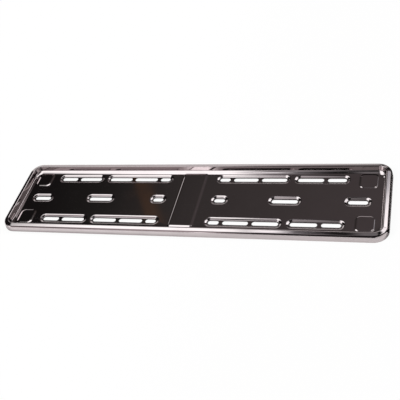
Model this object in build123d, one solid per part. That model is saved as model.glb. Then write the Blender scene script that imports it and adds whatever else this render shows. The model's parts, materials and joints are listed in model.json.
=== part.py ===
from build123d import *
import os
from math import atan2, cos, degrees, radians, sin, tan

# Lengths are in millimetres and angles in degrees.

# The plate that lies in the tray, and the room left round it
plate_length = 520.0
plate_width = 110.0
end_clearance = 0.9
side_clearance = 0.2

# Sheet, and the heights pressed into it above or below the flat pan
sheet = 0.6
recess_depth = 1.4
pad_height = 0.8
rim_height = 8.3

# Rim section, from the tray outwards: wall, crest, sloping brow, shoulder, skirt
rim_width = 10.4
corner_radius = 19.1
wall_draft = 16.0
foot_radius = 1.0
crest_radius = 1.4
brow_slope = 14.0
shoulder_radius = 3.4
skirt_draft = 8.0

# Hollow cove along each long side, where the edge of the plate rests
cove_width = 7.4
cove_rise = 1.7

# Slots for the fixing screws
slot_width = 6.5
slot_short = 15.0
slot_medium = 25.0
slot_long = 35.0
slot_web = 5.0
first_slot_start = 37.5
group_gap = 15.0
middle_slot_x = 135.0
end_slot_inset = 30.9
row_inset = 15.2

# Sunk recess round each group of slots
recess_land = 1.7
recess_run = 2.8

# Raised band across the middle and raised pad near each corner
band_width = 30.6
band_end_inset = 6.7
band_corner_radius = 1.5
pad_length = 20.1
pad_width = 22.5
pad_end_inset = 9.6
pad_side_inset = 6.5
pad_corner_radius = 4.5
raised_run = 2.4

# What follows from the sizes above
pan_z = sheet + recess_depth
crest_z = pan_z + rim_height
tray_length = plate_length + 2 * end_clearance
tray_width = plate_width + 2 * side_clearance
tray_radius = corner_radius - rim_width
corner_x = tray_length / 2 - tray_radius
corner_y = tray_width / 2 - tray_radius
row_y = tray_width / 2 - row_inset
end_slot_x = tray_length / 2 - end_slot_inset
pad_x = tray_length / 2 - pad_end_inset - pad_length / 2
pad_y = tray_width / 2 - pad_side_inset - pad_width / 2
band_length = tray_width - 2 * band_end_inset
cove_radius = (cove_width**2 + cove_rise**2) / (2 * cove_rise)
cove_turn = 2 * degrees(atan2(cove_rise, cove_width))

# Solids that are joined run this far into each other
rim_lap = rim_width / 4
pan_lap = sheet / 2
cove_lap = 15.0


def rim_section(depth, bottom):
    """Section of the rim below a skin that lies `depth` under the face: X outwards, Y up."""
    draft = radians(wall_draft)
    slope = radians(brow_slope)
    lean = radians(skirt_draft)
    crest_up = crest_z - crest_radius
    crest_out = tray_radius + (crest_radius + (crest_up - pan_z) * sin(draft)) / cos(draft)
    # The middle of the shoulder arc is its radius away from the lines of brow and skirt
    brow = sin(slope) * crest_out + cos(slope) * crest_up + crest_radius - shoulder_radius
    skirt = cos(lean) * corner_radius - shoulder_radius
    between = cos(slope + lean)
    shoulder_out = (skirt * cos(slope) - brow * sin(lean)) / between
    shoulder_up = (brow * cos(lean) - skirt * sin(slope)) / between
    crest = CenterArc(
        (crest_out, crest_up), crest_radius - depth, 180 - wall_draft, wall_draft - brow_slope - 90
    )
    shoulder = CenterArc(
        (shoulder_out, shoulder_up), shoulder_radius - depth, 90 - brow_slope, brow_slope + skirt_draft - 90
    )
    wall_out = tray_radius + (depth - (pan_z - bottom) * sin(draft)) / cos(draft)
    skirt_out = corner_radius - depth / cos(lean) - bottom * tan(lean)
    return make_face(
        [
            Line((wall_out, bottom), crest @ 0),
            crest,
            Line(crest @ 1, shoulder @ 0),
            shoulder,
            Line(shoulder @ 1, (skirt_out, bottom)),
            Line((skirt_out, bottom), (wall_out, bottom)),
        ]
    )


def rim(depth, bottom):
    """The section carried round the tray: two sides, two ends and four turned corners."""
    section = rim_section(depth, bottom)
    side = Pos(-corner_x, corner_y, 0) * extrude(Plane.YZ * section, 2 * corner_x)
    end = Pos(corner_x, corner_y, 0) * extrude(Plane.XZ * section, 2 * corner_y)
    corner = Pos(corner_x, corner_y, 0) * revolve(Plane.XZ * section, Axis.Z, 90)
    right = end + corner + mirror(corner, Plane.XZ)
    return side + mirror(side, Plane.XZ) + right + mirror(right, Plane.YZ)


def tray_slab(bottom, top):
    """A slab with the outline of the tray, reaching a little into the rim."""
    outline = RectangleRounded(
        tray_length + 2 * rim_lap, tray_width + 2 * rim_lap, tray_radius + rim_lap
    )
    return Pos(0, 0, bottom) * extrude(outline, top - bottom)


def coves(depth, bottom):
    """The fill below the hollow slopes that lead from the pan up to the long walls."""
    start = tray_width / 2 - cove_width
    hollow = CenterArc((start, pan_z + cove_radius), cove_radius + depth, -90, cove_turn + cove_lap)
    reach = (hollow @ 1).X
    section = make_face(
        [
            hollow,
            Line(hollow @ 1, (reach, bottom)),
            Line((reach, bottom), (start, bottom)),
            Line((start, bottom), hollow @ 0),
        ]
    )
    strip = Pos(-tray_length, 0, 0) * extrude(Plane.YZ * section, 2 * tray_length)
    strip &= tray_slab(bottom, crest_z)
    return strip + mirror(strip, Plane.XZ)


def foot_shift(depth, run, height):
    """How far the foot of a slope moves sideways on a skin that lies `depth` deeper."""
    return depth * tan(atan2(height, run) / 2)


def boss(length, width, radius, depth):
    """A raised field with sloping sides and a flat top of the given size."""
    slant = raised_run / pad_height
    out = raised_run + pan_lap * slant - foot_shift(depth, raised_run, pad_height)
    outline = RectangleRounded(length + 2 * out, width + 2 * out, radius + out)
    solid = extrude(outline, pad_height + pan_lap, taper=degrees(atan2(raised_run, pad_height)))
    return Pos(0, 0, pan_z - depth - pan_lap) * solid


def dish(length, depth):
    """What is pressed out of the pan round a row of slots of the given length."""
    slant = recess_run / recess_depth
    out = recess_land + recess_run + pan_lap * slant + foot_shift(depth, recess_run, recess_depth)
    outline = SlotOverall(length + 2 * out, slot_width + 2 * out)
    solid = extrude(outline, -recess_depth - pan_lap, taper=degrees(atan2(recess_run, recess_depth)))
    return Pos(0, 0, pan_z - depth + pan_lap) * solid


def span(lengths):
    """Length of a row of slots with a web between each two."""
    return sum(lengths) + slot_web * (len(lengths) - 1)


def slot_groups():
    """The groups of slots, each as its start, its row and the lengths of its slots."""
    near = [slot_short, slot_long, slot_long]
    far = [slot_long, slot_medium]
    groups = [
        (first_slot_start, 0, [slot_short]),
        (middle_slot_x - slot_long / 2, 0, [slot_long]),
        (end_slot_x - slot_medium / 2, 0, [slot_medium]),
    ]
    for row in (row_y, -row_y):
        groups.append((first_slot_start, row, near))
        groups.append((first_slot_start + span(near) + group_gap, row, far))
    return groups


def both_ends(shape):
    """A shape and its mirror image on the other half of the holder."""
    return [shape, mirror(shape, Plane.YZ)]


def formed(depth, bottom):
    """Everything below the skin that lies `depth` under the pressed face."""
    ring = rim(depth, bottom)
    floor = tray_slab(bottom, pan_z - depth) + coves(depth, bottom)
    body = ring + floor
    body = fillet(new_edges(ring, floor, combined=body), foot_radius + depth)

    dishes = []
    for start, row, lengths in slot_groups():
        middle = start + span(lengths) / 2
        dishes += both_ends(Pos(middle, row, 0) * dish(span(lengths), depth))

    pad = boss(pad_length, pad_width, pad_corner_radius, depth)
    bosses = [boss(band_width, band_length, band_corner_radius, depth)]
    for row in (pad_y, -pad_y):
        bosses += both_ends(Pos(pad_x, row, 0) * pad)
    return body + bosses - dishes


def slots():
    """All the slots, cut through the floors of the recesses."""
    cutters = []
    for start, row, lengths in slot_groups():
        for index, length in enumerate(lengths):
            middle = start + span(lengths[:index] + [length]) - length / 2
            slot = extrude(SlotOverall(length, slot_width), pan_z)
            cutters += both_ends(Pos(middle, row, 0) * slot)
    return cutters


# The pressed sheet lies between its face and a back that is one sheet thickness deeper
face_side = formed(0, 0)
back_side = formed(sheet, -sheet)
holder = face_side - back_side - slots()

os.makedirs("parts", exist_ok=True)
export_step(holder, "parts/number_plate_holder.step")
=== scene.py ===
import json
import bpy
import numpy as np
from mathutils.geometry import delaunay_2d_cdt
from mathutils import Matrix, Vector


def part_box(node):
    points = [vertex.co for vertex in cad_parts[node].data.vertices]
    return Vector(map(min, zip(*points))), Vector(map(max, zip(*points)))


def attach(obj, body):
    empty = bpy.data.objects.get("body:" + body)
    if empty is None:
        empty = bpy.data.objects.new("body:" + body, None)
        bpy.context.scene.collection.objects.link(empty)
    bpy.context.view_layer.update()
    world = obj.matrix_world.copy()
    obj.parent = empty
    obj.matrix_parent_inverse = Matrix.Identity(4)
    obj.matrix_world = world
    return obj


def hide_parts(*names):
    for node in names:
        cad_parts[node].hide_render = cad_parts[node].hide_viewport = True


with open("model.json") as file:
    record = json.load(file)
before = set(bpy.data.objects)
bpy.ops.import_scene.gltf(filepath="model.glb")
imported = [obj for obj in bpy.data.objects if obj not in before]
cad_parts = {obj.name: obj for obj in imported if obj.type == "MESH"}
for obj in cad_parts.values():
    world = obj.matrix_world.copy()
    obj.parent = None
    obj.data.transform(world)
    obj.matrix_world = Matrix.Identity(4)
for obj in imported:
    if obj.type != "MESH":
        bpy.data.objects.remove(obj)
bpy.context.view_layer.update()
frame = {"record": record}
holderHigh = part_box("number_plate_holder")[1]
print("frame loaded: holder reaches", [round(v, 4) for v in holderHigh])


# helpers for node trees

def addNode(tree, kind, inputs, **settings):
    made = tree.nodes.new(kind)
    for name, value in settings.items():
        setattr(made, name, value)
    for key, value in inputs.items():
        if isinstance(value, bpy.types.NodeSocket):
            tree.links.new(value, made.inputs[key])
        else:
            made.inputs[key].default_value = value
    return made


def addMath(tree, operation, first, second=0.0):
    return addNode(tree, "ShaderNodeMath", {0: first, 1: second}, operation=operation).outputs[0]


def addRange(tree, value, fromMin, fromMax, toMin=0.0, toMax=1.0, curve="SMOOTHSTEP"):
    ends = {"Value": value, "From Min": fromMin, "From Max": fromMax, "To Min": toMin, "To Max": toMax}
    return addNode(tree, "ShaderNodeMapRange", ends, interpolation_type=curve).outputs["Result"]


def addMix(tree, factor, first, second, blend="MIX"):
    # sockets 6 and 7 are the two colours of a mix node, and output 2 is what comes out
    inputs = {"Factor": factor, 6: first, 7: second}
    return addNode(tree, "ShaderNodeMix", inputs, data_type="RGBA", blend_type=blend).outputs[2]


def newMaterial(name):
    material = bpy.data.materials.new(name)
    material.use_nodes = True
    material.node_tree.nodes.clear()
    return material, material.node_tree


# the pressed sheet: lengths in metres, angles in degrees
pressing = {
    "sheet": 0.0006,
    "recessDepth": 0.0014,     # floors of the slots below the pan
    "bandHeight": 0.0008,      # band above the pan
    "padHeight": 0.0005,
    "rimHeight": 0.0083,       # crest above the pan
    "rimWidth": 0.0104,
    "cornerRadius": 0.0191,
    "wallDraft": 16.0,
    "footRadius": 0.0010,
    "crestRadius": 0.0014,
    "browSlope": 14.0,
    "shoulderRadius": 0.0034,
    "skirtDraft": 8.0,
    "coveWidth": 0.0074,
    "coveRise": 0.0017,
    "coveReach": 0.9,          # share of its radius up to which the cove's circle is followed
    "coveFade": (0.002, 0.015),     # where the cove starts and ends to sink back, on the way to the short end
    "coveLinesFrom": 0.0011,   # first line of points in the cove, from its start
    "coveLinesShort": 1.2,     # foot radii left between the last line and the wall
    "coveLineGap": 0.0004,     # room kept between such a line and a pad's foot
    "slotWeb": 0.0050,
    "webPlay": 1.5,            # slots less than this many webs apart share a recess
    "recessLand": 0.00170,
    "recessRun": 0.0028,
    "raisedRun": 0.0024,
    "bandWidth": 0.0306,
    "bandEndInset": 0.0067,
    "bandCorner": 0.0015,
    "padLength": 0.0201,
    "padWidth": 0.0225,
    "padEndInset": 0.0096,
    "padSideInset": 0.0065,
    "padCorner": 0.0045,
    "edgeMelt": 0.00050,       # height over which two slopes run into each other
    "floorMelt": 0.00015,
    "raisedMelt": 0.45,        # the same for band and pads, as a share of their height
    "turnSteps": 14,           # steps round a quarter turn
    "meltSteps": 10,           # steps along a bend
    "sideSteps": 40,           # steps along each side of the rim
    "longSide": 0.01,          # a field's side longer than this gets steps of its own
    "longSideSteps": 2,
    "coveSteps": 9,            # lines across the cove
    "footRounds": 6,           # rounds to find where the foot's arc meets the floor
}
perMetre = 1000                # millimetres in a metre
slopeStep = 1e-6               # slopes are taken over this length
sameRow = 1e-4                 # slots this close in y stand in one row
tiny = 1e-9

panZ = pressing["sheet"] + pressing["recessDepth"]
floorZ = pressing["sheet"]
trayX = holderHigh.x - pressing["rimWidth"]
trayY = holderHigh.y - pressing["rimWidth"]
trayRadius = pressing["cornerRadius"] - pressing["rimWidth"]
coreX = trayX - trayRadius
coreY = trayY - trayRadius
coveField = (0.0, 0.0, coreX, coreY, trayRadius - pressing["coveWidth"])
coveTurnRadius = trayRadius - pressing["coveWidth"] / 2
coveRadius = (pressing["coveWidth"] ** 2 + pressing["coveRise"] ** 2) / (2 * pressing["coveRise"])
recessGrade = pressing["recessDepth"] / pressing["recessRun"]


# a field is a rounded outline: centre x, centre y, half core x, half core y, radius round the core,
# and for a raised field its height

def slotFields(mounts):
    # each screw pattern stands half its spacing either side of the middle
    fields = []
    for mount in mounts:
        if mount["kind"] != "bolt_pattern":
            continue
        sizes = mount["dims"]
        radius = sizes["hole_r_mm"] / perMetre
        half = sizes["slot_length_mm"] / 2 / perMetre - radius
        across = sizes["spacing_x_mm"] / 2 / perMetre
        up = sizes.get("spacing_y_mm", 0) / 2 / perMetre
        rows = (-up, up) if up else (0.0,)
        fields += [(side * across, row, half, 0.0, radius) for side in (-1, 1) for row in rows]
    return np.array(fields)


def recessFields(slots):
    # slots of one row that stand a web apart share a recess, from the first end to the last
    ordered = slots[np.lexsort((slots[:, 0], np.round(slots[:, 1] / sameRow)))]
    reach = ordered[:, 2] + ordered[:, 4]
    gap = np.diff(ordered[:, 0]) - reach[1:] - reach[:-1]
    apart = (np.abs(np.diff(ordered[:, 1])) > sameRow) | (gap > pressing["webPlay"] * pressing["slotWeb"])
    first = np.flatnonzero(np.append(True, apart))
    last = np.flatnonzero(np.append(apart, True))
    left = ordered[first, 0] - ordered[first, 2]
    right = ordered[last, 0] + ordered[last, 2]
    radius = ordered[first, 4] + pressing["recessLand"]
    return np.stack([(left + right) / 2, ordered[first, 1], (right - left) / 2, 0 * left, radius], 1)


def raisedFields():
    # tops of the band across the middle and of the pad in each corner
    corner = pressing["bandCorner"]
    halfX = pressing["bandWidth"] / 2
    halfY = trayY - pressing["bandEndInset"]
    fields = [(0.0, 0.0, halfX - corner, halfY - corner, corner, pressing["bandHeight"])]
    corner = pressing["padCorner"]
    halfX = pressing["padLength"] / 2
    halfY = pressing["padWidth"] / 2
    padX = trayX - pressing["padEndInset"] - halfX
    padY = trayY - pressing["padSideInset"] - halfY
    fields += [(x * padX, y * padY, halfX - corner, halfY - corner, corner, pressing["padHeight"])
               for x in (-1, 1) for y in (-1, 1)]
    return np.array(fields)


slots = slotFields(frame["record"]["mounts"])
recesses = recessFields(slots)
raised = raisedFields()
print("fields:", len(slots), "slots,", len(recesses), "recesses,", len(raised), "raised")


def fieldDistance(x, y, field):
    # distance outside a rounded outline, negative inside it
    acrossX = np.abs(x - field[0]) - field[2]
    acrossY = np.abs(y - field[1]) - field[3]
    outside = np.hypot(np.maximum(acrossX, 0), np.maximum(acrossY, 0))
    return outside + np.minimum(np.maximum(acrossX, acrossY), 0) - field[4]


def meltMax(first, second, melt):
    # the higher of two heights, with a parabola where they differ by less than the melt
    share = np.clip(0.5 + 0.5 * (first - second) / melt, 0, 1)
    return second + (first - second) * share + melt * share * (1 - share)


def meltMin(first, second, melt):
    return -meltMax(-first, -second, melt)


def coveHeight(x, y):
    # circle that leaves the pan level at the cove's start; it sinks back on the way round the corners
    out = np.clip(fieldDistance(x, y, coveField), 0, pressing["coveReach"] * coveRadius)
    acrossX = np.maximum(np.abs(x) - coreX, 0)
    acrossY = np.abs(y) - coreY
    turn = np.arctan2(acrossX, np.maximum(acrossY, tiny))     # 0 along a side, a right angle along an end
    way = turn * coveTurnRadius + np.maximum(-acrossY, 0)
    start, end = pressing["coveFade"]
    share = np.clip((end - way) / (end - start), 0, 1)
    return panZ + share ** 2 * (3 - 2 * share) * (coveRadius - np.sqrt(coveRadius ** 2 - out ** 2))


def formHeight(x, y):
    # pan and coves, the raised fields' slopes cut off at their tops,
    # and the recesses' slopes cut off at their floors
    z = coveHeight(x, y)
    for field in raised:
        topZ = panZ + field[5]
        melt = pressing["raisedMelt"] * field[5]
        slope = topZ - field[5] / pressing["raisedRun"] * fieldDistance(x, y, field)
        z = meltMax(z, meltMin(slope, topZ, melt), melt)
    for field in recesses:
        slope = floorZ + recessGrade * fieldDistance(x, y, field)
        z = meltMin(z, meltMax(slope, floorZ, pressing["floorMelt"]), pressing["edgeMelt"])
    return z


def liftToForm(x, y):
    # points at the form's height, with normals from its slope along x and y
    slopeX = (formHeight(x + slopeStep, y) - formHeight(x - slopeStep, y)) / (2 * slopeStep)
    slopeY = (formHeight(x, y + slopeStep) - formHeight(x, y - slopeStep)) / (2 * slopeStep)
    points = np.stack([x, y, formHeight(x, y)], -1)
    normals = np.stack([-slopeX, -slopeY, np.ones_like(x)], -1)
    return points, normals / np.linalg.norm(normals, axis=-1, keepdims=True)


def roundedPath(halfX, halfY, stepsX=0, stepsY=0):
    # closed path round a core rectangle: the core's point and the outward direction at each step
    turn = np.linspace(0, np.pi / 2, pressing["turnSteps"] + 1)
    corners = [(halfX, halfY), (-halfX, halfY), (-halfX, -halfY), (halfX, -halfY)]
    points, angles = [], []
    for index, corner in enumerate(corners):
        follows = corners[(index + 1) % 4]
        steps = stepsX if index % 2 == 0 else stepsY
        shared = np.allclose(corner, follows)     # a round end has no side to walk along
        share = np.linspace(0, 1, steps + 2)[1:-1, None]
        points += [np.tile(corner, (len(turn) - shared, 1)), corner + share * np.subtract(follows, corner)]
        angles += [(turn + index * np.pi / 2)[: len(turn) - shared], np.full(steps, (index + 1) * np.pi / 2)]
    angles = np.concatenate(angles)
    return np.concatenate(points), np.stack([np.cos(angles), np.sin(angles)], 1)


def ringGrid(field, distances):
    # rings round a field, each at its own distance from the outline, lifted to the form
    steps = [pressing["longSideSteps"] if half > pressing["longSide"] else 0 for half in field[2:4]]
    core, outward = roundedPath(field[2], field[3], *steps)
    flat = field[:2] + core + (field[4] + distances[:, None, None]) * outward
    return liftToForm(flat[..., 0], flat[..., 1])


def slopeSteps(run, lowMelt, highMelt, grade):
    # close steps where a slope bends at its two ends, none along its straight part
    low = lowMelt / grade
    high = highMelt / grade
    steps = pressing["meltSteps"]
    return np.concatenate([np.linspace(-low, low, steps), np.linspace(run - high, run + high, steps)])


def recessSteps(field):
    return slopeSteps(pressing["recessRun"], pressing["floorMelt"], pressing["edgeMelt"], recessGrade)


def raisedSteps(field):
    melt = pressing["raisedMelt"] * field[5]
    return slopeSteps(pressing["raisedRun"], melt, melt, field[5] / pressing["raisedRun"])


def rimRows():
    # rim section from the wall's top to the skirt's edge: crest arc, shoulder arc, skirt
    # as distances out and up, with the normal's share out and up
    draft, slope, lean = np.radians([pressing["wallDraft"], pressing["browSlope"], pressing["skirtDraft"]])
    crestRadius, shoulderRadius = pressing["crestRadius"], pressing["shoulderRadius"]
    crestUp = panZ + pressing["rimHeight"] - crestRadius
    crestOut = trayRadius + (crestRadius + (crestUp - panZ) * np.sin(draft)) / np.cos(draft)
    brow = np.sin(slope) * crestOut + np.cos(slope) * crestUp + crestRadius - shoulderRadius
    skirt = np.cos(lean) * pressing["cornerRadius"] - shoulderRadius
    between = np.cos(slope + lean)
    shoulderOut = (skirt * np.cos(slope) - brow * np.sin(lean)) / between
    shoulderUp = (brow * np.cos(lean) - skirt * np.sin(slope)) / between
    crestTurn = np.linspace(np.pi - draft, np.pi / 2 - slope, 2 * pressing["meltSteps"])
    shoulderTurn = np.linspace(np.pi / 2 - slope, lean, 2 * pressing["meltSteps"])
    turn = np.concatenate([crestTurn, shoulderTurn, [lean]])
    out = np.concatenate([crestOut + crestRadius * np.cos(crestTurn),
                          shoulderOut + shoulderRadius * np.cos(shoulderTurn), [pressing["cornerRadius"]]])
    up = np.concatenate([crestUp + crestRadius * np.sin(crestTurn),
                         shoulderUp + shoulderRadius * np.sin(shoulderTurn), [0.0]])
    return out, up, np.cos(turn), np.sin(turn)


def footRows(core, outward):
    # hollow arc between floor and wall: its middle is one radius from the wall's line
    # and from the floor's tangent
    draft = np.radians(pressing["wallDraft"])
    radius = pressing["footRadius"]
    meet = np.zeros(len(core))
    for _ in range(pressing["footRounds"]):     # the floor's tangent is taken where the arc meets it
        along = core + (trayRadius + meet)[:, None] * outward
        height = coveHeight(*along.T) - panZ
        slope = (coveHeight(*(along + slopeStep * outward).T) - panZ - height) / slopeStep
        lift = height - slope * meet + radius * np.hypot(1, slope)
        middle = (lift * np.sin(draft) - radius) / (np.cos(draft) - slope * np.sin(draft))
        meet = middle + radius * slope / np.hypot(1, slope)
    middleUp = panZ + lift + slope * middle
    fromFloor = np.arctan2(1, -slope)
    turn = fromFloor + np.linspace(0, 1, pressing["meltSteps"])[:, None] * (np.pi - draft - fromFloor)
    out = trayRadius + middle - radius * np.cos(turn)
    return out, middleUp - radius * np.sin(turn), np.cos(turn), np.sin(turn)


def rimGrid():
    # foot arc and rim section carried round the tray's rounded outline
    core, outward = roundedPath(coreX, coreY, pressing["sideSteps"], pressing["sideSteps"])
    pairs = zip(footRows(core, outward), rimRows())
    rows = [np.concatenate([low, np.repeat(high[:, None], len(core), 1)]) for low, high in pairs]
    out, up, normalOut, normalUp = rows
    flat = core + out[..., None] * outward
    points = np.concatenate([flat, up[..., None]], -1)
    normals = np.concatenate([normalOut[..., None] * outward, normalUp[..., None]], -1)
    points[0], normals[0] = liftToForm(flat[0, :, 0], flat[0, :, 1])     # first ring lies on the floor
    return points, normals


def coveLines():
    # lines along each cove and round its corners, from beside the band into the short ends,
    # broken where a pad stands
    turn = np.linspace(0, np.pi / 2, pressing["turnSteps"] + 1)
    start = pressing["bandWidth"] / 2 + 2 * pressing["raisedRun"]
    side = np.linspace(start, coreX, 2 * pressing["sideSteps"])[:-1]
    beyond = pressing["coveFade"][1] - np.pi / 2 * coveTurnRadius
    end = coreY - np.linspace(0, beyond, pressing["coveSteps"])[1:]
    last = pressing["coveWidth"] - pressing["coveLinesShort"] * pressing["footRadius"]
    lines = []
    for out in np.linspace(pressing["coveLinesFrom"], last, pressing["coveSteps"]):
        radius = coveField[4] + out
        x = np.concatenate([side, coreX + radius * np.sin(turn), np.full_like(end, coreX + radius)])
        y = np.concatenate([np.full_like(side, coreY + radius), coreY + radius * np.cos(turn), end])
        room = np.min([fieldDistance(x, y, field) - raisedSteps(field)[-1] for field in raised], 0)
        clear = room > pressing["coveLineGap"]
        runs = np.split(np.stack([x, y]), np.flatnonzero(np.diff(clear)) + 1, 1)
        free = np.resize([clear[0], not clear[0]], len(runs))
        runs = [run for run, kept in zip(runs, free) if kept and run.shape[1] > 1]
        lines += [liftToForm(right * run[0], up * run[1])
                  for run in runs for right in (-1, 1) for up in (-1, 1)]
    return lines


# the skin collects points and normals, and the four-sided faces between rings

skin = {"points": [], "normals": [], "quads": [], "loops": [], "lines": [], "size": 0}
netPlay = 1e-6     # points of the flat net closer than this many millimetres are one


def addPoints(points, normals):
    ids = np.arange(points[..., 0].size).reshape(points.shape[:-1]) + skin["size"]
    skin["points"].append(points.reshape(-1, 3))
    skin["normals"].append(normals.reshape(-1, 3))
    skin["size"] += ids.size
    return ids


def bridge(lower, upper):
    # faces between two closed rings
    return np.stack([lower, np.roll(lower, -1, -1), np.roll(upper, -1, -1), upper], -1).reshape(-1, 4)


def addRings(grid):
    ids = addPoints(*grid)
    skin["quads"].append(bridge(ids[:-1], ids[1:]))
    return ids


def flatTriangles():
    # plain fields and coves: a net between all outlines, without what lies on a slope or in a slot
    points = np.concatenate(skin["points"])
    ids = np.concatenate(skin["loops"] + skin["lines"])
    place = np.zeros(skin["size"], int)
    place[ids] = np.arange(len(ids))
    rings = [np.stack([loop, np.roll(loop, -1)], 1) for loop in skin["loops"]]
    runs = [np.stack([line[:-1], line[1:]], 1) for line in skin["lines"]]
    edges = place[np.concatenate(rings + runs)]
    net = delaunay_2d_cdt((points[ids, :2] * perMetre).tolist(), edges.tolist(), [], 0, netPlay)
    if len(net[0]) != len(ids):
        raise SystemExit("two outlines of the flat net cross")
    triangles = ids[np.array(net[2])]
    x, y = points[triangles, :2].mean(1).T
    keep = ~np.isin(triangles, rimIds[0]).all(1)     # the net's hull reaches past the rim's first ring
    for field in slots:
        keep &= fieldDistance(x, y, field) > 0
    for fields, steps in ((recesses, recessSteps), (raised, raisedSteps)):
        for field in fields:
            away = fieldDistance(x, y, field)
            keep &= (away < steps(field)[0]) | (away > steps(field)[-1])
    return triangles[keep]


rimIds = addRings(rimGrid())
skin["loops"].append(rimIds[0])
for fields, steps in ((recesses, recessSteps), (raised, raisedSteps)):
    for field in fields:
        ringIds = addRings(ringGrid(field, steps(field)))
        skin["loops"] += [ringIds[0], ringIds[-1]]
slotIds = [addPoints(*ringGrid(field, np.zeros(1)))[0] for field in slots]
skin["loops"] += slotIds
skin["lines"] += [addPoints(*line) for line in coveLines()]
print("skin:", skin["size"], "points")


def sheetMesh():
    # the face, a back one sheet thickness behind it along the normals, and the cut edges between the two
    size = skin["size"]
    face = np.concatenate(skin["points"])
    normals = np.concatenate(skin["normals"])
    triangles = flatTriangles()
    quads = np.concatenate(skin["quads"])
    for faces in (quads, triangles):     # every face turned to the side of its normals
        ahead = np.cross(face[faces[:, 1]] - face[faces[:, 0]], face[faces[:, 2]] - face[faces[:, 0]])
        turned = (ahead * normals[faces].sum(1)).sum(1) < 0
        faces[turned] = faces[turned, ::-1]
    back = face - pressing["sheet"] * normals
    edge = rimIds[-1]
    lean = np.radians(pressing["skirtDraft"])
    outward = normals[edge, :2] / np.linalg.norm(normals[edge, :2], axis=1, keepdims=True)
    back[edge, :2] = face[edge, :2] - pressing["sheet"] / np.cos(lean) * outward
    back[edge, 2] = 0     # the skirt ends square on the ground
    walls = np.concatenate([bridge(loop, loop + size)[:, ::-1] for loop in slotIds])
    hem = bridge(edge, edge + size)[:, ::-1]
    points = np.concatenate([face, back])
    cut = np.concatenate([walls, hem])
    cutNormals = np.cross(points[cut[:, 2]] - points[cut[:, 0]], points[cut[:, 3]] - points[cut[:, 1]])
    cutNormals /= np.linalg.norm(cutNormals, axis=1, keepdims=True)
    fours = np.concatenate([quads, quads[:, ::-1] + size, cut])
    threes = np.concatenate([triangles, triangles[:, ::-1] + size])
    both = np.concatenate([normals, -normals])
    corners = both[fours]
    corners[len(fours) - len(cut):] = cutNormals[:, None]
    corners = np.concatenate([corners.reshape(-1, 3), both[threes].reshape(-1, 3)])
    # material slots: 0 the polished face, 1 the back, 2 the cut edges
    finish = np.concatenate([np.repeat([0, 1, 2], [len(quads), len(quads), len(cut)]),
                             np.repeat([0, 1], [len(triangles), len(triangles)])])
    mesh = bpy.data.meshes.new("pressed_sheet")
    mesh.from_pydata(points.tolist(), [], fours.tolist() + threes.tolist())
    mesh.polygons.foreach_set("material_index", finish.astype(np.int32))
    mesh.polygons.foreach_set("use_smooth", np.ones(len(finish), bool))
    mesh.normals_split_custom_set(corners.tolist())
    print("mesh:", 2 * len(fours) + len(threes), "triangles")
    return mesh


# polished steel: patterns per metre, heights in metres
steelFinish = {
    "bright": (0.600, 0.552, 0.556, 1.0),
    "dull": (0.565, 0.518, 0.522, 1.0),
    "dullSpan": (0.35, 0.7),        # smudge pattern's values from bright to dull
    "polish": (0.045, 0.11),        # roughness, clean to smudged
    "polishSpan": (0.4, 0.75),
    "smudges": {"Scale": 26.0, "Detail": 6.0, "Roughness": 0.62},
    "waves": {"Scale": 20.0, "Detail": 1.5},
    "waveHeight": 0.00002,
    "lines": {"Scale": 1.0, "Detail": 2.0},
    "lineStretch": (60.0, 2600.0, 60.0),     # polishing lines run along the holder
    "lineHeight": 0.0000004,
}


def polishedSteel():
    material, tree = newMaterial("polished_steel")
    place = addNode(tree, "ShaderNodeTexCoord", {}).outputs["Object"]
    smudge = addNode(tree, "ShaderNodeTexNoise", {"Vector": place, **steelFinish["smudges"]}).outputs["Fac"]
    dull = addRange(tree, smudge, *steelFinish["dullSpan"])
    colour = addMix(tree, dull, steelFinish["bright"], steelFinish["dull"])
    rough = addRange(tree, smudge, *steelFinish["polishSpan"], *steelFinish["polish"])
    wave = addNode(tree, "ShaderNodeTexNoise", {"Vector": place, **steelFinish["waves"]}).outputs["Fac"]
    waved = addNode(tree, "ShaderNodeBump", {
        "Height": wave, "Distance": steelFinish["waveHeight"], "Strength": 1.0}).outputs["Normal"]
    stretched = addNode(tree, "ShaderNodeMapping", {
        "Vector": place, "Scale": steelFinish["lineStretch"]}).outputs["Vector"]
    line = addNode(tree, "ShaderNodeTexNoise", {"Vector": stretched, **steelFinish["lines"]}).outputs["Fac"]
    lined = addNode(tree, "ShaderNodeBump", {
        "Height": line, "Distance": steelFinish["lineHeight"], "Strength": 1.0,
        "Normal": waved}).outputs["Normal"]
    shader = addNode(tree, "ShaderNodeBsdfPrincipled", {
        "Base Color": colour, "Metallic": 1.0, "Roughness": rough, "Normal": lined})
    addNode(tree, "ShaderNodeOutputMaterial", {"Surface": shader.outputs[0]})
    return material


# back of the sheet as it comes from the mill, and the edges left by the punch
plainFinish = {
    "mill_back": {"light": (0.56, 0.54, 0.53, 1), "dark": (0.47, 0.45, 0.445, 1), "rough": (0.26, 0.4),
                  "grain": {"Scale": 140.0, "Detail": 5.0}, "span": (0.3, 0.7)},
    "cut_edge": {"light": (0.60, 0.58, 0.57, 1), "dark": (0.40, 0.38, 0.37, 1), "rough": (0.22, 0.5),
                 "grain": {"Scale": 900.0, "Detail": 5.0}, "span": (0.3, 0.7)},
}


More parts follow.
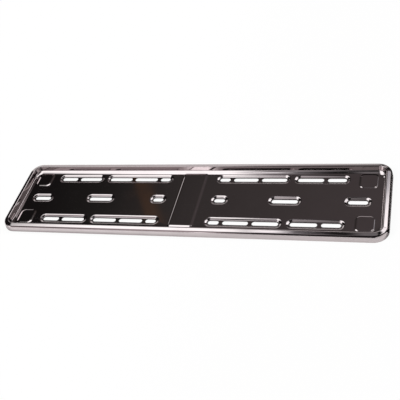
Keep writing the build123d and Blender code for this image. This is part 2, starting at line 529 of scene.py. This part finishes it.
def plainSteel(name):
    finish = plainFinish[name]
    material, tree = newMaterial(name)
    place = addNode(tree, "ShaderNodeTexCoord", {}).outputs["Object"]
    grain = addNode(tree, "ShaderNodeTexNoise", {"Vector": place, **finish["grain"]}).outputs["Fac"]
    colour = addMix(tree, addRange(tree, grain, *finish["span"]), finish["light"], finish["dark"])
    rough = addRange(tree, grain, *finish["span"], *finish["rough"])
    shader = addNode(tree, "ShaderNodeBsdfPrincipled", {
        "Base Color": colour, "Metallic": 1.0, "Roughness": rough})
    addNode(tree, "ShaderNodeOutputMaterial", {"Surface": shader.outputs[0]})
    return material


pressedSheet = bpy.data.objects.new("pressed_sheet", sheetMesh())
bpy.context.scene.collection.objects.link(pressedSheet)
for finish in (polishedSteel(), plainSteel("mill_back"), plainSteel("cut_edge")):
    pressedSheet.data.materials.append(finish)
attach(pressedSheet, "root")
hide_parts("number_plate_holder")
print("pressed sheet stands for the holder")


# pale floor with painted shade: darker close to the holder's foot and towards the right
floorLook = {
    "half": 4.0,
    "pale": (0.93, 0.915, 0.92, 1.0),
    "shaded": (0.55, 0.535, 0.535, 1.0),     # painted contact shade at the holder's foot
    "shadeReach": 0.008,
    "shadeRight": (0.77, 0.755, 0.755, 1.0),     # painted shade beside the right half
    "shadeRightSpan": (-0.1, 0.13),                 # along x, from pale to the painted shade on the right
    "white": 1.0,
    "liftSeen": 0.96,       # how much of the plain white the camera gets, the rest keeps the shadow
    "liftMirrored": 0.05,   # the same for what the metal mirrors
}


def flatMesh(name, x, y, z):
    # one rectangle between two values of x and two of y
    corners = [(x[0], y[0], z), (x[1], y[0], z), (x[1], y[1], z), (x[0], y[1], z)]
    mesh = bpy.data.meshes.new(name)
    mesh.from_pydata(corners, [], [(0, 1, 2, 3)])
    return mesh


def paleFloor():
    reach = (-floorLook["half"], floorLook["half"])
    mesh = flatMesh("floor", reach, reach, 0)
    material, tree = newMaterial("pale_floor")
    path = addNode(tree, "ShaderNodeLightPath", {}).outputs
    mirrored = addMath(tree, "MAXIMUM", path["Is Glossy Ray"], path["Is Transmission Ray"])
    seenLift = addMath(tree, "MULTIPLY", path["Is Camera Ray"], floorLook["liftSeen"])
    mirroredLift = addMath(tree, "MULTIPLY", mirrored, floorLook["liftMirrored"])
    lift = addMath(tree, "MAXIMUM", seenLift, mirroredLift)
    place = addNode(tree, "ShaderNodeTexCoord", {}).outputs["Object"]
    x, y = addNode(tree, "ShaderNodeSeparateXYZ", {0: place}).outputs[:2]
    outX = addMath(tree, "SUBTRACT", addMath(tree, "ABSOLUTE", x), holderHigh.x)
    outY = addMath(tree, "SUBTRACT", addMath(tree, "ABSOLUTE", y), holderHigh.y)
    # painted contact shade: the floor's colour darkens towards the holder's foot and under it
    away = addRange(tree, addMath(tree, "MAXIMUM", outX, outY), 0.0, floorLook["shadeReach"])
    colour = addMix(tree, away, floorLook["shaded"], floorLook["pale"])
    # painted shade: the floor's colour darkens towards the right half
    colour = addMix(tree, addRange(tree, x, *floorLook["shadeRightSpan"]), colour, floorLook["shadeRight"])
    paint = addNode(tree, "ShaderNodeBsdfDiffuse", {"Color": colour}).outputs[0]
    glow = addNode(tree, "ShaderNodeEmission", {"Strength": floorLook["white"]}).outputs[0]
    mixed = addNode(tree, "ShaderNodeMixShader", {0: lift, 1: paint, 2: glow}).outputs[0]
    addNode(tree, "ShaderNodeOutputMaterial", {"Surface": mixed})
    mesh.materials.append(material)
    floor = bpy.data.objects.new("floor", mesh)
    bpy.context.scene.collection.objects.link(floor)


# black card laid beside the right end, out of the camera's sight and seen only by mirrored rays: painted
# shade, a dark reflection for a dark edge on the rim
shadeCardLook = {"x": (0.2725, 0.45), "y": (-0.05, 0.35), "lift": 0.0002, "black": (0.006, 0.006, 0.006, 1.0)}


def shadeCard():
    mesh = flatMesh("shade_card", shadeCardLook["x"], shadeCardLook["y"], shadeCardLook["lift"])
    material, tree = newMaterial("shade_card")
    paint = addNode(tree, "ShaderNodeBsdfDiffuse", {"Color": shadeCardLook["black"]}).outputs[0]
    addNode(tree, "ShaderNodeOutputMaterial", {"Surface": paint})
    mesh.materials.append(material)
    card = bpy.data.objects.new("shade_card", mesh)
    # seen by mirrored rays only, so the card paints a dark reflection and throws no shadow
    for ray in ("camera", "diffuse", "shadow", "transmission"):
        setattr(card, "visible_" + ray, False)
    bpy.context.scene.collection.objects.link(card)


paleFloor()
shadeCard()
print("floor and card laid")


# studio round the holder, by direction: overhead panels in x and y on a ceiling one unit up,
# standing panels in bearing from +Y and height, both in degrees
# slant, where given: shift of the left and right edge along y
# soft: half width of the left, right, low and high edge
studio = {
    "seen": (1.0, 1.0, 1.0, 1.0),     # what the camera finds beyond the floor
    "dark": (0.010, 0.009, 0.009),    # what is left between the panels
    "lowest": 0.02,                   # least rise that a direction is taken to have towards the ceiling
    "ceiling": {-1.0: (0.000, 0.000, 0.000), -0.85: (0.001, 0.001, 0.001), -0.69: (0.010, 0.010, 0.009),
                -0.47: (0.042, 0.037, 0.036), -0.1: (0.072, 0.061, 0.062)},     # along x
    "ceilingSpan": {"x": (-9.0, 9.0), "y": (0.45, 1.5), "soft": (0.1, 0.1, 0.1, 0.15)},
    "overhead": {
        "softbox": {"x": (-0.76, -0.257), "y": (-0.15, 0.66), "slant": (0.3, -0.067),
                    "soft": (0.16, 0.035, 0.06, 0.05), "light": (1.75, 1.75, 1.75)},
        "tongue": {"x": (-0.262, -0.212), "y": (0.185, 0.31),
                   "soft": (0.012, 0.018, 0.025, 0.04), "light": (1.4, 1.4, 1.42)},
        "spill": {"x": (-0.257, -0.16), "y": (-0.2, 0.62), "slant": (-0.067, -0.067),
                  "soft": (0.035, 0.05, 0.05, 0.05), "light": (0.22, 0.21, 0.22)},
        "spillHigh": {"x": (-0.257, -0.21), "y": (0.33, 0.62), "slant": (-0.067, -0.067),
                      "soft": (0.035, 0.04, 0.05, 0.05), "light": (0.32, 0.31, 0.32)},
        "spillLow": {"x": (-0.257, -0.13), "y": (-0.21, -0.03), "slant": (-0.067, -0.067),
                     "soft": (0.035, 0.11, 0.05, 0.05), "light": (0.5, 0.47, 0.48)},
        "rightGlow": {"x": (-0.105, 0.12), "y": (0.08, 0.42),
                      "soft": (0.015, 0.04, 0.03, 0.05), "light": (0.2, 0.19, 0.195)},
        "padGlow": {"x": (0.03, 0.18), "y": (0.48, 0.7),
                    "soft": (0.03, 0.03, 0.04, 0.04), "light": (0.9, 0.88, 0.88)},
        "front": {"x": (-0.62, -0.3), "y": (-1.75, -0.18), "slant": (0.13, 0.13),
                  "soft": (0.15, 0.05, 0.1, 0.06), "light": (0.45, 0.39, 0.405)},
        "brownStrip": {"x": (-0.091, -0.053), "y": (0.7, 1.2), "slant": (-0.55, -0.55),
                       "soft": (0.003, 0.012, 0.05, 0.05), "light": (0.034, 0.012, 0.0)},
        "windowTop": {"x": (0.27, 1.05), "y": (0.1, 0.8),
                      "soft": (0.05, 0.1, 0.06, 0.06), "light": (1.5, 1.5, 1.52)},
    },
    "standing": {
        "backSweep": {"x": (-36.0, -3.0), "y": (-90.0, 20.0),
                      "soft": (3.0, 9.0, 3.0, 2.0), "light": (0.75, 0.72, 0.715)},
        "backBand": {"x": (-22.0, 10.0), "y": (20.0, 30.0),
                     "soft": (4.0, 3.0, 2.0, 3.0), "light": (0.5, 0.46, 0.46)},
        "leftSweep": {"x": (-49.5, -36.0), "y": (-90.0, 24.0),
                      "soft": (1.5, 3.0, 3.0, 3.0), "light": (0.75, 0.72, 0.715)},
        "windowLeft": {"x": (22.7, 34.0), "y": (36.6, 47.0),
                       "soft": (1.2, 0.5, 0.8, 1.5), "light": (1.75, 1.75, 1.75)},
        "windowDim": {"x": (17.0, 22.7), "y": (36.6, 47.0),
                      "soft": (2.0, 1.2, 0.8, 1.5), "light": (0.5, 0.51, 0.55)},
        "windowRight": {"x": (34.0, 43.0), "y": (31.0, 47.0),
                        "soft": (0.5, 2.0, 0.8, 1.5), "light": (1.75, 1.75, 1.75)},
        "rightLow": {"x": (50.0, 64.0), "y": (1.0, 18.0),
                     "soft": (2.0, 3.0, 1.0, 3.0), "light": (0.18, 0.16, 0.16)},
        "rightHigh": {"x": (42.0, 64.0), "y": (20.0, 38.0),
                      "soft": (2.0, 3.0, 2.0, 2.0), "light": (0.7, 0.64, 0.64)},
        "leftDim": {"x": (-113.0, -94.0), "y": (8.0, 30.0),
                    "soft": (4.0, 3.0, 3.0, 3.0), "light": (0.3, 0.27, 0.27)},
        "leftWall": {"x": (-136.0, -113.0), "y": (8.0, 30.0),
                     "soft": (4.0, 4.0, 3.0, 3.0), "light": (1.3, 1.26, 1.26)},
        "frontWall": {"x": (-163.0, -120.0), "y": (-6.0, 29.0),
                      "soft": (6.0, 10.0, 2.0, 3.0), "light": (0.55, 0.48, 0.49)},
        "cornerWall": {"x": (98.0, 165.0), "y": (-3.0, 27.0),
                       "soft": (8.0, 6.0, 2.0, 4.0), "light": (0.6, 0.56, 0.56)},
        "frontLow": {"x": (-161.9, -160.0), "y": (6.0, 19.0),
                     "soft": (0.3, 0.3, 2.0, 2.0), "light": (1.8, 1.76, 1.78)},
        "frontRight": {"x": (-179.0, -164.0), "y": (8.0, 17.0),
                       "soft": (3.0, 3.0, 2.0, 2.0), "light": (0.28, 0.25, 0.25)},
    },
}


def softPanel(tree, x, y, panel):
    # product of a soft step at each of the four edges; the left and right edges may slant along y
    slants = panel.get("slant", (0.0, 0.0))
    sides = [addMath(tree, "SUBTRACT", x, addMath(tree, "MULTIPLY", y, slant)) for slant in slants]
    places = [*sides, y, y]
    edges = panel["x"] + panel["y"]
    share = None
    for value, edge, soft, turn in zip(places, edges, panel["soft"], (1, -1, 1, -1)):
        step = addRange(tree, value, edge - turn * soft, edge + turn * soft)
        share = step if share is None else addMath(tree, "MULTIPLY", share, step)
    return share


def ceilingRamp(tree, x):
    # colour along x between the given places
    places = list(studio["ceiling"])
    ramp = addNode(tree, "ShaderNodeValToRGB", {0: addRange(tree, x, places[0], places[-1], curve="LINEAR")})
    stops = ramp.color_ramp.elements
    for place in places[1:-1]:
        stops.new((place - places[0]) / (places[-1] - places[0]))
    for stop, colour in zip(stops, studio["ceiling"].values()):
        stop.color = (*colour, 1)
    return ramp.outputs[0]


def studioWorld():
    world = bpy.data.worlds.new("studio")
    world.use_nodes = True
    tree = world.node_tree
    tree.nodes.clear()
    direction = addNode(tree, "ShaderNodeTexCoord", {}).outputs["Generated"]
    x, y, z = addNode(tree, "ShaderNodeSeparateXYZ", {0: direction}).outputs
    above = addMath(tree, "MAXIMUM", z, studio["lowest"])
    ceilingX = addMath(tree, "DIVIDE", x, above)
    ceilingY = addMath(tree, "DIVIDE", y, above)
    bearing = addMath(tree, "DEGREES", addMath(tree, "ARCTAN2", x, y))
    height = addMath(tree, "DEGREES", addMath(tree, "ARCSINE", z))
    ceilingShare = softPanel(tree, ceilingX, ceilingY, studio["ceilingSpan"])
    light = addMix(tree, ceilingShare, (*studio["dark"], 1), ceilingRamp(tree, ceilingX), "ADD")
    panels = [(ceilingX, ceilingY, panel) for panel in studio["overhead"].values()]
    panels += [(bearing, height, panel) for panel in studio["standing"].values()]
    for across, along, panel in panels:
        share = softPanel(tree, across, along, panel)
        light = addMix(tree, share, light, (*panel["light"], 1), "ADD")
    cameraRay = addNode(tree, "ShaderNodeLightPath", {}).outputs["Is Camera Ray"]
    light = addMix(tree, cameraRay, light, studio["seen"])
    shader = addNode(tree, "ShaderNodeBackground", {"Color": light})
    addNode(tree, "ShaderNodeOutputWorld", {"Surface": shader.outputs[0]})
    bpy.context.scene.world = world


# soft key light for the floor, from the upper left in front; the sheet mirrors the studio instead
keyLight = {"turn": (16.0, -48.0, 0.0), "strength": 3.7, "spread": 25.0}


def addKeyLight():
    data = bpy.data.lights.new("key_light", "SUN")
    data.energy = keyLight["strength"]
    data.angle = np.radians(keyLight["spread"])
    key = bpy.data.objects.new("key_light", data)
    key.rotation_euler = np.radians(keyLight["turn"])
    key.visible_glossy = False
    bpy.context.scene.collection.objects.link(key)


studioWorld()
addKeyLight()
print("studio set")


# camera at the photograph's angle
cameraView = {
    "place": (0.31839, -0.60573, 0.64724),
    "turn": (44.870, 13.028, 13.685),
    "lens": 61.178,
    "sensor": 36.0,
}


def addCamera():
    data = bpy.data.cameras.new("camera")
    data.lens = cameraView["lens"]
    data.sensor_width = cameraView["sensor"]
    camera = bpy.data.objects.new("camera", data)
    camera.location = cameraView["place"]
    camera.rotation_euler = np.radians(cameraView["turn"])
    bpy.context.scene.collection.objects.link(camera)
    bpy.context.scene.camera = camera


addCamera()
bpy.context.scene.view_settings.view_transform = "Standard"
